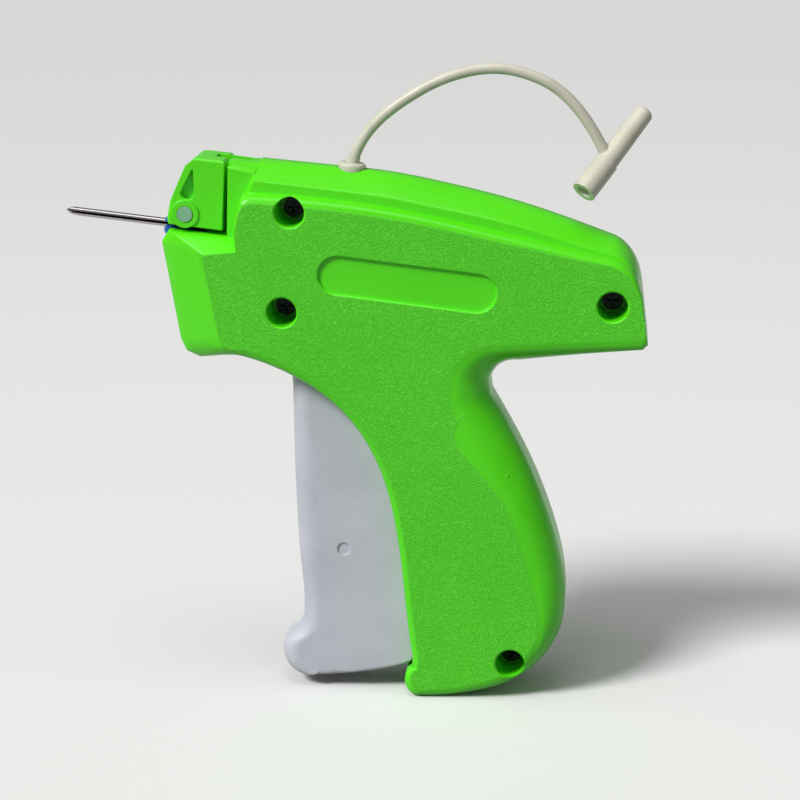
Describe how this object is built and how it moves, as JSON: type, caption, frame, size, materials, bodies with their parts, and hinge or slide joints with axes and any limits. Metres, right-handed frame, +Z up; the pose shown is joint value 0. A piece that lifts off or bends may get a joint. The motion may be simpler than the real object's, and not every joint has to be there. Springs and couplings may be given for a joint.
{
  "type": "garment tag attacher",
  "caption": "Pistol-shaped hand tool that pushes plastic fasteners through a hollow needle, with a squeeze trigger and a tethered needle cap.",
  "frame": {"origin": "on the plane between the two halves, level with the flat base of the grip, midway between the needle tip and the rear of the housing", "axes": "+Z up with the tool standing on its grip, -X the way the needle points, -Y out of the left side face"},
  "size_m": [0.1439, 0.026, 0.1577],
  "materials": {
    "green_shell": "fine moulded grain on the side faces, satin elsewhere",
    "white_plastic": "satin",
    "natural_plastic": "satin",
    "tether_plastic": "smooth",
    "clear_plastic": "milky, slightly see-through",
    "blue_plastic": "smooth",
    "needle_steel": "polished",
    "steel": "zinc plated",
    "spring_steel": "oiled"
  },
  "bodies": {
    "housing": {"left_housing": "green_shell", "right_housing": "green_shell", "nose_block": "green_shell", "housing_screws": "steel", "needle": "needle_steel", "needle_hub": "blue_plastic", "fastener_guide": "natural_plastic", "feed_wheel_axle": "steel", "detent_spring": "spring_steel", "pawl_spring": "spring_steel", "trigger_spring": "spring_steel", "lever_pivot_pin": "steel"},
    "trigger": {"trigger": "white_plastic"},
    "lever": {"drive_lever": "steel", "trigger_link_pin": "steel"},
    "slide": {"slide_carriage": "natural_plastic", "slide_pin": "steel", "ejector_rod": "needle_steel"},
    "pawl": {"feed_pawl": "natural_plastic"},
    "wheel": {"feed_wheel": "natural_plastic"},
    "lock": {"needle_lock": "clear_plastic"},
    "tether": {"tether_plug": "tether_plastic", "tether_cord": "tether_plastic", "needle_cap": "tether_plastic"}
  },
  "joints": [
    {"name": "trigger_squeeze", "type": "hinge", "parent": "housing", "child": "trigger", "pos_m": [-0.0168, 0, 0.0981], "axis": [0, -1, 0], "range_deg": [0, 10.7], "stiffness_Nm_per_rad": 0.6, "springref_deg": -14.32, "deforming": ["trigger_spring"]},
    {"name": "lever_swing", "type": "hinge", "parent": "housing", "child": "lever", "pos_m": [0.024, 0, 0.057], "axis": [0, -1, 0], "range_deg": [0, 43.75]},
    {"name": "rod_slide", "type": "slide", "parent": "housing", "child": "slide", "axis": [-0.9942, 0, 0.108], "range_m": [0, 0.0423]},
    {"name": "pawl_slide", "type": "slide", "parent": "housing", "child": "pawl", "axis": [0, 0, -1], "range_m": [0, 0.0023], "deforming": ["pawl_spring"]},
    {"name": "feed_wheel_turn", "type": "hinge", "parent": "housing", "child": "wheel", "pos_m": [-0.03216, 0.0068, 0.10805], "axis": [0.9942, 0, -0.108], "continuous": true},
    {"name": "needle_lock_turn", "type": "hinge", "parent": "housing", "child": "lock", "pos_m": [-0.04091, 0, 0.12107], "axis": [0, -1, 0], "range_deg": [0, 90]},
    {"name": "tether_swivel", "type": "hinge", "parent": "housing", "child": "tether", "pos_m": [-0.0008, 0, 0.13194], "axis": [0.108, 0, 0.9942], "range_deg": [-180, 180]}
  ],
  "couplings": [
    {"joint": "lever_swing", "follows": "trigger_squeeze", "ratio": 4.0879},
    {"joint": "rod_slide", "follows": "trigger_squeeze", "m_per_rad": 0.22651},
    {"joint": "pawl_slide", "follows": "trigger_squeeze", "m_per_rad": 0.01221}
  ]
}
